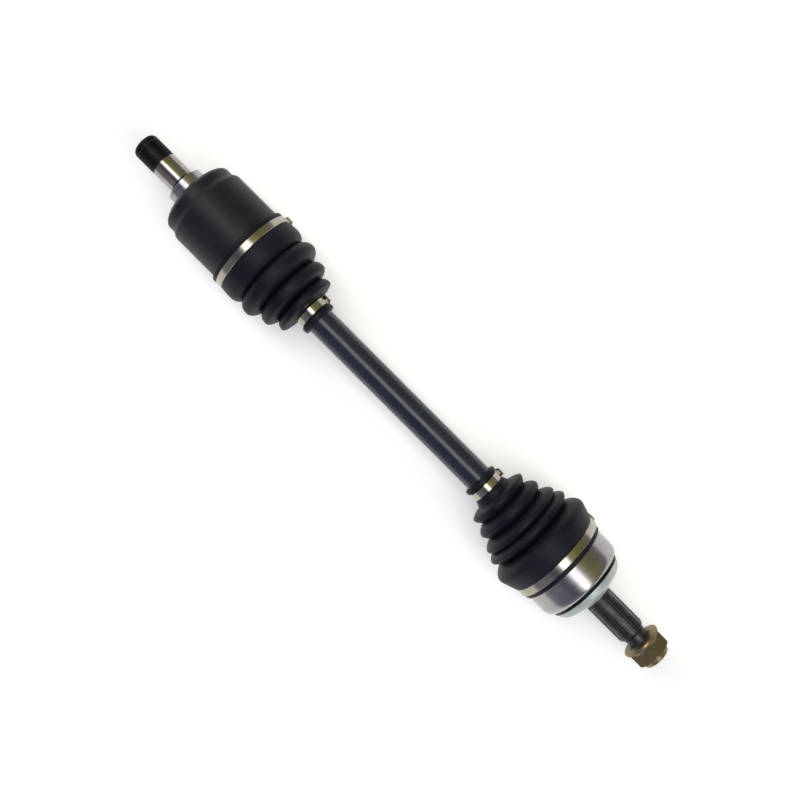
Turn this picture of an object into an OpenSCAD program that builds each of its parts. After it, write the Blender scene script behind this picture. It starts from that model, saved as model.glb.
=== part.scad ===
// CV axle: a straight half shaft with a plunging tripod joint at its inboard end and a
// fixed ball joint at its outboard end, each greased joint sealed by a rubber boot.
// The axle lies along X, outboard towards +X, +Z up. The origin is on the axis, at the
// outboard end of the ground land of the inboard stub.

/* [Layout] */
// Centre of the tripod joint, along the axle
tripod_x = 59; // [58.5:0.1:59.5]
// Centre of the ball joint, along the axle
ball_joint_x = 470; // [469.8:0.1:470.2]
// Radius of the half shaft between the boots
bar_r = 12.6; // [12.4:0.1:12.8]
// Angle of the clamp ears about the axle, from +Y
ear_angle = -18; // [-180:1:180]

/* [Inboard housing] */
// Radius of the ground land that runs in the gearbox seal
land_r = 12.1; // [12:0.1:12.4]
// Length of the ground land
land_len = 23.2; // [22:0.1:24]
// Tip radius of the inboard spline
stub_spline_r = 12.05; // [11.9:0.05:12.1]
// Length of the inboard spline
stub_spline_len = 24.1; // [23:0.1:26]
// Number of inboard spline teeth
stub_teeth = 28; // [24:1:32]
// Radius of the collar behind the land
collar_r = 17.5; // [16.5:0.1:18]
// Radius of the small step of the can
can_step_r = 35.05; // [34.8:0.05:35.4]
// Outer radius of the can
can_r = 37.8; // [37.6:0.1:38]
// Open end of the can
can_mouth_x = 92; // [91.5:0.1:92]

/* [Tripod] */
// Distance from the axis to the middle of each roller
roller_offset = 21.5; // [21.3:0.1:21.7]
// Radius of the rollers' spherical tread
roller_r = 15.5; // [15.4:0.05:15.6]
// Width of each roller
roller_w = 10; // [9.6:0.1:10]
// Radius of the trunnions
trunnion_r = 7.5; // [7.4:0.05:7.5]
// Radius of one bearing needle
needle_r = 1.19; // [1.15:0.01:1.2]
// Number of needles in each roller
needle_count = 22; // [16:1:22]
// Side clearance between a roller and its track
track_gap = 0.7; // [0.65:0.05:0.8]

/* [Ball joint] */
// Radius of each ball
ball_r = 7.9375; // [7.9:0.0125:7.95]
// Radius of the circle of ball centres
ball_pitch_r = 27.5; // [27.4:0.1:27.6]
// Number of balls
ball_count = 6; // [6:6]
// Outer radius of the ball cage
cage_r = 30; // [29.9:0.05:30]
// Inner radius of the ball cage
cage_bore_r = 25.3; // [25.3:0.05:25.4]
// Outer radius of the inner race
race_r = 25.1; // [25:0.05:25.1]

/* [Bell] */
// Outer radius of the bell
bell_r = 41.3; // [41.1:0.1:41.5]
// Open end of the bell
bell_mouth_x = 448; // [447.8:0.1:448.2]
// Tip radius of the outboard spline
hub_spline_r = 12.8; // [12.6:0.1:13]
// Number of outboard spline teeth
hub_teeth = 26; // [24:1:32]
// Length of the outboard spline
hub_spline_len = 43.8; // [42:0.1:44]
// Major radius of the M22 thread
thread_r = 11; // [10.9:0.05:11]

/* [Nut] */
// Size of the hexagon across its flats
nut_af = 32; // [31.5:0.1:32.5]
// Radius of the nut's flange
nut_flange_r = 18.4; // [18.2:0.1:20]
// Length of the nut
nut_len = 21.9; // [21:0.1:23]

/* [Boots and clamps] */
// Radial wall of the boots
boot_wall = 2.3; // [2:0.1:2.4]
// Thickness of the clamp bands
band_t = 1; // [0.8:0.1:1]

/* [Hidden] */
$fn = 96;
over = 1;          // how far a cut runs past the face that it opens
play = 0.05;       // radial clearance of the fits inside the joints
tilt_in = 20;      // largest tilt of the tripod joint, in degrees
tilt_out = 45;     // largest tilt of the ball joint, in degrees
plunge = 15;       // plunge to either side of rest

// Inboard housing
spline_depth = 1.1;
stub_tip_x = -land_len - stub_spline_len;
collar_x = 2.6;
collar_end_x = 11.5;
dome_start = [11.3, 19.4];
dome_end_x = 20.4;
step_end_x = 26.8;
can_start_x = 31.2;
cavity_x = 21.5;
cavity_r = 32.3;
cavity_bore_r = 19.5;
track_half = roller_r + track_gap;
seat_groove = 0.6;
ring_x = stub_tip_x + 6.5;
ring_wire_r = 0.8;

// Half shaft
end_spline_r = 11.2;
end_spline_teeth = 24;
neck_in_r = 10.8;
neck_out_r = 10.5;
stop_r = 12;
stop_w = 2.6;
hub_half = 10;
hub_r = 15.5;
clip_w = 1.2;
shaft_in_x = tripod_x - hub_half - 3.4;
neck_in_end_x = 112;
taper_in_end_x = 140;
bead_in_x = 155.3;
bead_out_x = 366.9;
bead_w = 7.5;
bead_depth = 0.4;
taper_out_x = 378;
neck_out_x = 416;
race_half = 11.5;
shaft_out_x = ball_joint_x + race_half + 4;

// Tripod
root_r = 9.8;
roller_bore_r = trunnion_r + 2*needle_r + 3*play;
needle_pitch_r = trunnion_r + needle_r + play;
washer_r = 11.2;
washer_t = 0.9;
washer_z = roller_offset + roller_w/2 + 0.1;
snap_t = 1;
snap_z = washer_z + washer_t + 0.1;
snap_groove_r = 6.7;
trunnion_end = snap_z + snap_t + 1;

// Ball joint
track_r = ball_r + 1.16;
track_half_sweep = 41;
mouth_sweep = 60;
bell_sphere_r = cage_r + 0.2;
cage_half = 13;
window_half = ball_r + play;
window_end_r = 10.2;
first_ball_angle = 90;

// Bell
relief_gap = 0.45;
relief_base = neck_out_r/cos(tilt_out) + relief_gap;
bell_seat_r = 40.6;
bell_seat_end_x = 463.6;
bell_round_x = 482;
bell_round_r = 40.7;
groove_x = 486.6;
groove_w = 3.8;
groove_edge_r = 39;
groove_r = 36.6;
dome_arc = [473.6, 11.6, 30];
shoulder_x = 503.6;
shoulder_r = 17.6;
shoulder_bore_r = 13.6;
shoulder_sink = 0.8;
hub_spline_x = 505.7;
neck_end_x = 557.5;
neck_r = 10.1;
stub_end_x = 577.6;
nut_x = 557.5;
nut_hex_end_x = 574.6;

// Boots: knots are [x, outer radius] at each peak and valley
boot_in_lip = [78.2, 40.5];
band_in_x = 83.1;
band_in_w = 6.4;
band_in_r = 39.8;
boot_in_knots = [[91, 40.6], [101, 41.1], [109.7, 34], [118.7, 41.1], [127.7, 29.4],
                 [136.7, 35.4], [143.2, 24.1], [150.9, 29.3], [154.6, 17]];
boot_in_end = 168.6;
boot_out_start = 361.4;
boot_out_knots = [[378.4, 17.6], [384.4, 28], [391.3, 24.1], [398.6, 33], [405.1, 28.5],
                  [411.9, 38.9], [415.8, 36.7], [421, 43], [426.6, 37.4], [437.3, 49.5],
                  [447, 46.4]];
band_out_x = 452;
band_out_w = 7.3;
band_out_r = 43.6;
boot_out_end = 463.5;
narrow_band_r = 13.9;
narrow_band_w = 7;
narrow_lip_r = 16.4;

// ---- Shared shapes ----

// A solid turned about the axle, from [x, radius] points
module turned(points)
    rotate([0, 90, 0]) rotate_extrude() polygon([for (p = points) [p[1], p[0]]]);

// Children drawn along +Z are laid along +X, starting at x
module along_x(x) translate([x, 0, 0]) rotate([0, 90, 0]) children();

// Points of an arc, from angle a0 to a1 about [x, r]
function arc(x, r, radius, a0, a1, steps = 8) =
    [for (i = [0:steps]) let (a = a0 + (a1 - a0)*i/steps) [x + radius*cos(a), r + radius*sin(a)]];

// Outline of a splined shaft, or of its bore when gap is more than 0
function spline_outline(teeth, tip_r, root_r, gap = 0) =
    [for (i = [0:teeth - 1]) for (p = [[-0.34, root_r], [-0.16, tip_r], [0.16, tip_r], [0.34, root_r]])
        let (r = p[1] + gap, a = (i + p[0])*360/teeth + sign(p[0])*gap*60/tip_r)
        [r*cos(a), r*sin(a)]];

// A length of splined shaft between x and x_end, with both ends chamfered
module splined(x, x_end, teeth, tip_r, root_r, chamfer) {
    clear_r = tip_r + play;
    intersection() {
        along_x(x) linear_extrude(x_end - x) polygon(spline_outline(teeth, tip_r, root_r));
        turned([[x, 0], [x, clear_r - chamfer], [x + chamfer, clear_r], [x_end - chamfer, clear_r],
                [x_end, clear_r - chamfer], [x_end, 0]]);
    }
}

// An open ring of rectangular section about +Z, with its gap towards +X
module snap_ring(inner_r, outer_r, thickness, gap_w)
    difference() {
        cylinder(r = outer_r, h = thickness);
        translate([0, 0, -over]) cylinder(r = inner_r, h = thickness + 2*over);
        translate([0, -gap_w/2, -over]) cube([outer_r + over, gap_w, thickness + 2*over]);
    }

// A clamp band whose crimped ear stands up over the band
module ear_clamp(x, w, inner_r, t, ear_w, ear_h) {
    base = inner_r + 0.3*t;
    rotate([ear_angle, 0, 0]) {
        along_x(x) difference() {
            cylinder(r = inner_r + t, h = w);
            translate([0, 0, -over]) cylinder(r = inner_r, h = w + 2*over);
        }
        translate([x, 0, 0]) rotate([90, 0, 90]) linear_extrude(w) difference() {
            polygon([[base, -ear_w/2], [base + ear_h, -0.38*ear_w], [base + ear_h, 0.38*ear_w],
                     [base, ear_w/2]]);
            polygon([[base + 0.7*t, -ear_w/2 + t], [base + ear_h - t, -0.38*ear_w + t],
                     [base + ear_h - t, 0.38*ear_w - t], [base + 0.7*t, ear_w/2 - t]]);
        }
    }
}

// Turns children from +Z to the direction of trunnion k: 0 top, 1 left, 2 right
module at_trunnion(k) translate([tripod_x, 0, 0]) rotate([-120*k, 0, 0]) children();

// Smooth radius between knots: each peak and valley is a rounded crest
function eased(a, b, steps) =
    [for (i = [1:steps]) let (t = i/steps)
        [a[0] + (b[0] - a[0])*t, a[1] + (b[1] - a[1])*(1 - cos(180*t))/2]];
function eased_path(knots, steps) =
    concat([knots[0]], [for (i = [1:len(knots) - 1]) for (p = eased(knots[i - 1], knots[i], steps)) p]);

// Radius of full round lobes between knots, with a sharp valley between two lobes
function lobe(a, b, steps) =
    [for (i = [1:steps]) let (t = i/steps)
        [a[0] + (b[0] - a[0])*t, b[1] > a[1] ? a[1] + (b[1] - a[1])*sin(90*t) : b[1] + (a[1] - b[1])*cos(90*t)]];
function lobe_path(knots, steps) =
    concat([knots[0]], [for (i = [1:len(knots) - 1]) for (p = lobe(knots[i - 1], knots[i], steps)) p]);

function reversed(list) = [for (i = [len(list) - 1:-1:0]) list[i]];

// ---- Inboard housing ----

function housing_outline() = concat(
    [[-land_len - 0.6, 0], [-land_len - 0.6, land_r - 0.6], [-land_len, land_r], [0, land_r],
     [0, 11.2], [collar_x, 11.2], [collar_x, collar_r - 0.5], [collar_x + 0.5, collar_r],
     [collar_end_x - 0.4, collar_r], dome_start],
    [for (i = [1:8]) let (t = 90*i/8)
        [dome_start[0] + (dome_end_x - dome_start[0])*(1 - cos(t)),
         dome_start[1] + (can_step_r - dome_start[1])*sin(t)]],
    [[step_end_x, can_step_r], [can_start_x, can_r], [band_in_x - 1, can_r],
     [band_in_x, can_r - seat_groove], [band_in_x + band_in_w, can_r - seat_groove],
     [band_in_x + band_in_w + 1, can_r], [can_mouth_x - 0.5, can_r], [can_mouth_x, can_r - 0.5],
     [can_mouth_x, 0]]);

// Three flat-sided tracks round a central bore, opened at the mouth for the tilted shaft
module tulip_cavity() {
    depth = can_mouth_x - cavity_x + over;
    relief_x = tripod_x - plunge;
    relief_r = stop_r;
    intersection() {
        union() {
            along_x(cavity_x) cylinder(r = cavity_bore_r, h = depth);
            for (k = [0:2]) rotate([120*k, 0, 0]) translate([cavity_x, -track_half, 0])
                cube([depth, 2*track_half, can_r]);
        }
        along_x(cavity_x) cylinder(r = cavity_r, h = depth);
    }
    along_x(relief_x) cylinder(r1 = relief_r, r2 = relief_r + (can_mouth_x + over - relief_x)*tan(tilt_in),
                               h = can_mouth_x + over - relief_x);
}

module inboard_housing()
    color("#2b2c30") difference() {
        union() {
            turned(housing_outline());
            splined(stub_tip_x, -land_len, stub_teeth, stub_spline_r, stub_spline_r - spline_depth, 1.2);
        }
        tulip_cavity();
        along_x(ring_x - 1) difference() {
            cylinder(r = stub_spline_r + over, h = 2);
            translate([0, 0, -over]) cylinder(r = 10.4, h = 2 + 2*over);
        }
        along_x(stub_tip_x - over) cylinder(r1 = 4.2, r2 = 0.4, h = 5);
    }

module stub_retaining_ring()
    color("silver") along_x(ring_x) rotate_extrude(angle = 330, start = 15)
        translate([land_r - ring_wire_r, 0]) circle(r = ring_wire_r, $fn = 24);

// ---- Tripod ----

module tripod_spider()
    color("#8d8f92") difference() {
        union() {
            along_x(tripod_x - hub_half) cylinder(r = hub_r, h = 2*hub_half);
            for (k = [0:2]) at_trunnion(k) {
                cylinder(r = root_r, h = roller_offset - roller_w/2 - 0.2);
                cylinder(r = trunnion_r, h = trunnion_end - 0.6);
                translate([0, 0, trunnion_end - 0.6]) cylinder(r1 = trunnion_r, r2 = trunnion_r - 0.6, h = 0.6);
            }
        }
        along_x(tripod_x - hub_half - over) linear_extrude(2*(hub_half + over))
            polygon(spline_outline(end_spline_teeth, end_spline_r, end_spline_r - spline_depth, play));
        for (k = [0:2]) at_trunnion(k) translate([0, 0, snap_z - play]) difference() {
            cylinder(r = trunnion_r + over, h = snap_t + 2*play);
            translate([0, 0, -over]) cylinder(r = snap_groove_r, h = snap_t + 2*over);
        }
    }

module spider_snap_ring()
    color("silver") along_x(tripod_x - hub_half - clip_w - play)
        snap_ring(end_spline_r - 1, end_spline_r + 1.5, clip_w, 5);

module roller(k)
    color("#b9bcc0") at_trunnion(k) translate([0, 0, roller_offset]) difference() {
        intersection() {
            sphere(r = roller_r);
            cylinder(r = roller_r + over, h = roller_w, center = true);
        }
        cylinder(r = roller_bore_r, h = roller_w + 2*over, center = true);
    }

module needles(k)
    color("#d5d7da") at_trunnion(k) for (i = [0:needle_count - 1])
        rotate([0, 0, 360*i/needle_count]) translate([needle_pitch_r, 0, roller_offset - roller_w/2 + 0.3])
            cylinder(r = needle_r, h = roller_w - 0.6, $fn = 24);

module roller_washer(k)
    color("#9a9da1") at_trunnion(k) translate([0, 0, washer_z]) difference() {
        cylinder(r = washer_r, h = washer_t);
        translate([0, 0, -over]) cylinder(r = trunnion_r + play, h = washer_t + 2*over);
    }

module roller_snap_ring(k)
    color("#6f7276") at_trunnion(k) translate([0, 0, snap_z])
        snap_ring(snap_groove_r + play, trunnion_r + 1.3, snap_t, 3);

module roller_top() roller(0);
module roller_left() roller(1);
module roller_right() roller(2);
module needles_top() needles(0);
module needles_left() needles(1);
module needles_right() needles(2);
module roller_washer_top() roller_washer(0);
module roller_washer_left() roller_washer(1);
module roller_washer_right() roller_washer(2);
module roller_snap_ring_top() roller_snap_ring(0);
module roller_snap_ring_left() roller_snap_ring(1);
module roller_snap_ring_right() roller_snap_ring(2);

// ---- Half shaft ----

function shaft_outline() =
    [[tripod_x + hub_half, 0], [tripod_x + hub_half, stop_r], [tripod_x + hub_half + stop_w, stop_r],
     [tripod_x + hub_half + stop_w + 1.2, neck_in_r], [neck_in_end_x, neck_in_r],
     [taper_in_end_x, bar_r], [bead_in_x, bar_r], [bead_in_x + bead_depth, bar_r - bead_depth],
     [bead_in_x + bead_w, bar_r - bead_depth], [bead_in_x + bead_w + bead_depth, bar_r],
     [bead_out_x - bead_depth, bar_r], [bead_out_x, bar_r - bead_depth],
     [bead_out_x + bead_w - bead_depth, bar_r - bead_depth], [bead_out_x + bead_w, bar_r],
     [taper_out_x, bar_r], [neck_out_x, neck_out_r],
     [ball_joint_x - race_half - stop_w - 1.2, neck_out_r], [ball_joint_x - race_half - stop_w, stop_r],
     [ball_joint_x - race_half, stop_r], [ball_joint_x - race_half, 0]];

module clip_groove(x)
    along_x(x - play) difference() {
        cylinder(r = bar_r, h = clip_w + 2*play);
        translate([0, 0, -over]) cylinder(r = end_spline_r - spline_depth, h = clip_w + 2*over);
    }

module half_shaft()
    color("#23262b") difference() {
        union() {
            turned(shaft_outline());
            splined(shaft_in_x, tripod_x + hub_half + 0.5, end_spline_teeth, end_spline_r,
                    end_spline_r - spline_depth, 0.8);
            splined(ball_joint_x - race_half - 0.5, shaft_out_x, end_spline_teeth, end_spline_r,
                    end_spline_r - spline_depth, 0.8);
        }
        clip_groove(tripod_x - hub_half - clip_w - play);
        clip_groove(ball_joint_x + race_half + play);
    }

// ---- Ball joint ----

// The groove of one ball, an arc about the joint's centre from the closed end to the mouth
module ball_track(to_mouth)
    rotate_extrude(angle = track_half_sweep + to_mouth, start = 90 - track_half_sweep)
        translate([ball_pitch_r, 0]) circle(r = track_r);

// Turns children from +Y to the direction of ball i, counted from 1
module at_ball(i)
    translate([ball_joint_x, 0, 0]) rotate([first_ball_angle + 360*(i - 1)/ball_count, 0, 0]) children();

module inner_race()
    color("#a3a6aa") difference() {
        intersection() {
            translate([ball_joint_x, 0, 0]) sphere(r = race_r);
            along_x(ball_joint_x - race_half) cylinder(r = race_r + over, h = 2*race_half);
        }
        along_x(ball_joint_x - race_half - over) linear_extrude(2*(race_half + over))
            polygon(spline_outline(end_spline_teeth, end_spline_r, end_spline_r - spline_depth, play));
        for (i = [1:ball_count]) at_ball(i) ball_track(track_half_sweep);
    }

module inner_race_circlip()
    color("silver") along_x(ball_joint_x + race_half + play)
        snap_ring(end_spline_r - 1, end_spline_r + 1.5, clip_w, 5);

module ball_cage()
    color("#7d8084") difference() {
        intersection() {
            translate([ball_joint_x, 0, 0]) sphere(r = cage_r);
            along_x(ball_joint_x - cage_half) cylinder(r = cage_r + over, h = 2*cage_half);
        }
        translate([ball_joint_x, 0, 0]) sphere(r = cage_bore_r);
        for (i = [1:ball_count]) at_ball(i) intersection() {
            translate([-window_half, cage_bore_r/2, -window_end_r])
                cube([2*window_half, cage_r, 2*window_end_r]);
            rotate([-90, 0, 0]) cylinder(r = window_end_r, h = 2*cage_r);
        }
    }

module ball(i) color("#dfe3e8") at_ball(i) translate([0, ball_pitch_r, 0]) sphere(r = ball_r);
module ball_1() ball(1);
module ball_2() ball(2);
module ball_3() ball(3);
module ball_4() ball(4);
module ball_5() ball(5);
module ball_6() ball(6);

// ---- Bell and its stub ----

function bell_outline() = concat(
    [[bell_mouth_x, 0], [bell_mouth_x, bell_seat_r - 0.5], [bell_mouth_x + 0.5, bell_seat_r],
     [bell_seat_end_x, bell_seat_r], [bell_seat_end_x, bell_r - 0.3], [bell_seat_end_x + 0.3, bell_r],
     [bell_round_x, bell_r], [bell_round_x + 2, bell_round_r], [groove_x, groove_edge_r],
     [groove_x + 0.2, groove_r], [groove_x + groove_w, groove_r]],
    arc(dome_arc[0], dome_arc[1], dome_arc[2], 55, 19, 10),
    [[shoulder_x - 0.6, shoulder_r], [shoulder_x, shoulder_r - 0.4], [shoulder_x, shoulder_bore_r],
     [shoulder_x - shoulder_sink, shoulder_bore_r], [shoulder_x - shoulder_sink, hub_spline_r - 0.4],
     [hub_spline_x + 0.5, hub_spline_r - 0.4], [hub_spline_x + 0.5, 0]]);

function stub_outline() =
    [[hub_spline_x + hub_spline_len - 1, 0], [hub_spline_x + hub_spline_len - 1, neck_r],
     [neck_end_x + 0.2, neck_r], [neck_end_x + 1.1, thread_r], [stub_end_x - 1.2, thread_r],
     [stub_end_x, thread_r - 1.2], [stub_end_x, 0]];

module outboard_bell()
    color("#a9a59f") difference() {
        union() {
            turned(bell_outline());
            splined(hub_spline_x, hub_spline_x + hub_spline_len, hub_teeth, hub_spline_r,
                    hub_spline_r - spline_depth, 2.4);
            turned(stub_outline());
        }
        along_x(ball_joint_x) sphere(r = bell_sphere_r);
        for (i = [1:ball_count]) at_ball(i) ball_track(mouth_sweep);
        along_x(bell_mouth_x - over)
            cylinder(r1 = relief_base + (ball_joint_x - bell_mouth_x + over)*tan(tilt_out), r2 = relief_base,
                     h = ball_joint_x - bell_mouth_x + over);
        along_x(stub_end_x - 5) cylinder(r1 = 0.4, r2 = 4.6, h = 5 + 0.2);
    }

// ---- Axle nut ----

module axle_nut()
    color("#a08a5a") difference() {
        union() {
            intersection() {
                along_x(nut_x) cylinder(r = nut_af/2/cos(30), h = nut_hex_end_x - nut_x, $fn = 6);
                turned([[nut_x, 0], [nut_x, 18.2], [nut_hex_end_x - 1.4, 18.5],
                        [nut_hex_end_x, 16], [nut_hex_end_x, 0]]);
            }
            turned([[nut_x, 0], [nut_x, nut_flange_r - 1.6], [nut_x + 0.5, nut_flange_r - 0.5],
                    [nut_x + 1.6, nut_flange_r], [nut_x + 2.7, nut_flange_r - 0.4],
                    [nut_x + 6.4, 15.2], [nut_hex_end_x - 0.5, 14.6], [nut_hex_end_x + 0.8, 13.6],
                    [nut_x + nut_len - 1.6, 12.9], [nut_x + nut_len, 12], [nut_x + nut_len, 0]]);
        }
        along_x(nut_x - over) cylinder(r = thread_r + play, h = nut_len + 2*over);
        along_x(nut_x - play) cylinder(r1 = thread_r + 1, r2 = thread_r, h = 1);
    }

// ---- Boots and clamps ----

module inboard_boot() {
    convolutions = lobe_path(boot_in_knots, 8);
    seat_r = can_r + play;
    grip_r = bar_r + play;
    color("#202226") turned(concat(
        [[boot_in_lip[0], seat_r], [boot_in_lip[0], boot_in_lip[1] - 0.7],
         [boot_in_lip[0] + 0.8, boot_in_lip[1]], [band_in_x - 0.6, boot_in_lip[1]],
         [band_in_x - 0.1, band_in_r - play], [band_in_x + band_in_w + 0.1, band_in_r - play]],
        convolutions,
        [[bead_in_x - 0.1, narrow_band_r - play], [bead_in_x + narrow_band_w + 0.3, narrow_band_r - play],
         [bead_in_x + narrow_band_w + 0.6, narrow_lip_r - 0.5], [bead_in_x + narrow_band_w + 1.2, narrow_lip_r],
         [boot_in_end - 0.8, narrow_lip_r], [boot_in_end, narrow_lip_r - 0.8], [boot_in_end, grip_r],
         [bead_in_x - 1, grip_r]],
        [for (p = reversed(convolutions)) if (p[0] < bead_in_x - 2.5 && p[0] > can_mouth_x + 0.6)
            [p[0], max(p[1] - boot_wall, grip_r + 0.6)]],
        [[can_mouth_x + 0.6, seat_r]]));
}

module outboard_boot() {
    convolutions = eased_path(boot_out_knots, 4);
    seat_r = bell_seat_r + play;
    grip_r = bar_r + play;
    color("#1d2026") turned(concat(
        [[boot_out_start, grip_r], [boot_out_start, narrow_lip_r - 0.8], [boot_out_start + 0.8, narrow_lip_r],
         [bead_out_x - 0.8, narrow_lip_r], [bead_out_x - 0.1, narrow_band_r - play],
         [bead_out_x + narrow_band_w + 0.1, narrow_band_r - play],
         [bead_out_x + narrow_band_w + 0.4, narrow_band_r + 1.6]],
        convolutions,
        [[band_out_x - 0.6, 44.6], [band_out_x - 0.1, band_out_r - play],
         [band_out_x + band_out_w + 0.1, band_out_r - play], [band_out_x + band_out_w + 0.5, 43.2],
         [boot_out_end - 0.6, 43.2], [boot_out_end, 42.6], [boot_out_end, seat_r],
         [bell_mouth_x - 0.6, seat_r]],
        [for (p = reversed(convolutions)) if (p[0] < bell_mouth_x - 0.7 && p[0] > taper_out_x + 1.4)
            [p[0], max(p[1] - boot_wall, grip_r + 0.6)]],
        [[taper_out_x, grip_r]]));
}

module inboard_wide_clamp()
    color("#b59f6a") ear_clamp(band_in_x, band_in_w, band_in_r, band_t, 12, 5);
module inboard_narrow_clamp()
    color("#b9bbbd") ear_clamp(bead_in_x, narrow_band_w, narrow_band_r, 0.8*band_t, 8.4, 4.6);
module outboard_narrow_clamp()
    color("#b9bbbd") ear_clamp(bead_out_x, narrow_band_w, narrow_band_r, 0.8*band_t, 8.4, 4.6);
module outboard_wide_clamp()
    color("#b3a27e") ear_clamp(band_out_x, band_out_w, band_out_r, band_t, 12, 4.6);

inboard_housing();
stub_retaining_ring();
inboard_wide_clamp();
inboard_boot();
inboard_narrow_clamp();
tripod_spider();
spider_snap_ring();
roller_top();
roller_left();
roller_right();
needles_top();
needles_left();
needles_right();
roller_washer_top();
roller_washer_left();
roller_washer_right();
roller_snap_ring_top();
roller_snap_ring_left();
roller_snap_ring_right();
half_shaft();
outboard_narrow_clamp();
outboard_boot();
outboard_wide_clamp();
inner_race();
inner_race_circlip();
ball_cage();
ball_1();
ball_2();
ball_3();
ball_4();
ball_5();
ball_6();
outboard_bell();
axle_nut();
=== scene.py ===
"""CV axle: the looks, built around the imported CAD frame.

Lengths in this script are millimetres in the part's own frame: the axle lies along X, outboard
towards +X, +Z up, with the origin at the outboard end of the inboard ground land.
"""
import math

import bmesh
import bpy
import numpy as np
from mathutils import Matrix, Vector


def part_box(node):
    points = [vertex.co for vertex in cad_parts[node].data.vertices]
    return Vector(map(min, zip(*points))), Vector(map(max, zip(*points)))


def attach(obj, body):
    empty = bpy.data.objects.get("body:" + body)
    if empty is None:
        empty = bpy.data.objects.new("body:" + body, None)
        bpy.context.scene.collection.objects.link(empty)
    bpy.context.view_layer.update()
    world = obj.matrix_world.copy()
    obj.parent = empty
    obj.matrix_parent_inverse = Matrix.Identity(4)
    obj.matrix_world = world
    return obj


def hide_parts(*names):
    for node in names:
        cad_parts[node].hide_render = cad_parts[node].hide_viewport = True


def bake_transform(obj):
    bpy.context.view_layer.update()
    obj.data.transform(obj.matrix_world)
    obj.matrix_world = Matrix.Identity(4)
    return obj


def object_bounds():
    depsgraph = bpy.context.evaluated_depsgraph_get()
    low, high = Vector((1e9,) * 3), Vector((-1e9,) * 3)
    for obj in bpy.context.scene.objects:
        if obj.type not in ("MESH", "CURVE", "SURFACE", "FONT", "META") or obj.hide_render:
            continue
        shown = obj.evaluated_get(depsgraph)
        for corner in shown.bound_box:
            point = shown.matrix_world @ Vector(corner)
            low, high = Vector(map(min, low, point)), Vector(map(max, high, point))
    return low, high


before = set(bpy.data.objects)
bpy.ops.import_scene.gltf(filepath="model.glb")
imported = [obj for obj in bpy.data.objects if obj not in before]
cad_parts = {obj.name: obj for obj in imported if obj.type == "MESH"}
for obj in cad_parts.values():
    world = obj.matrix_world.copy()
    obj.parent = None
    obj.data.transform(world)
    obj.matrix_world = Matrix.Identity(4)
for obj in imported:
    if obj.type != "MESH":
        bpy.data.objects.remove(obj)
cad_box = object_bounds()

MM = 0.001


def cad_span(node):
    """The lowest and highest x of a CAD node, in millimetres."""
    low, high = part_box(node)
    return low[0] / MM, high[0] / MM


STUB_TIP, CAN_MOUTH = cad_span("inboard_housing")
BELL_MOUTH, STUB_END = cad_span("outboard_bell")
NUT_START, NUT_END = cad_span("axle_nut")
TRIPOD_X = sum(cad_span("tripod_spider")) / 2
BALL_JOINT_X = sum(cad_span("ball_cage")) / 2
BAR_R = 12.6
CAN_R = 37.8
BELL_R = 41.3
BELL_SEAT_R = 40.6
LAND_R = 12.1
THREAD_R = 11.0
THREAD_PITCH = 1.5
EAR_ANGLE = math.radians(-18)


# ---- Materials ----

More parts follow.
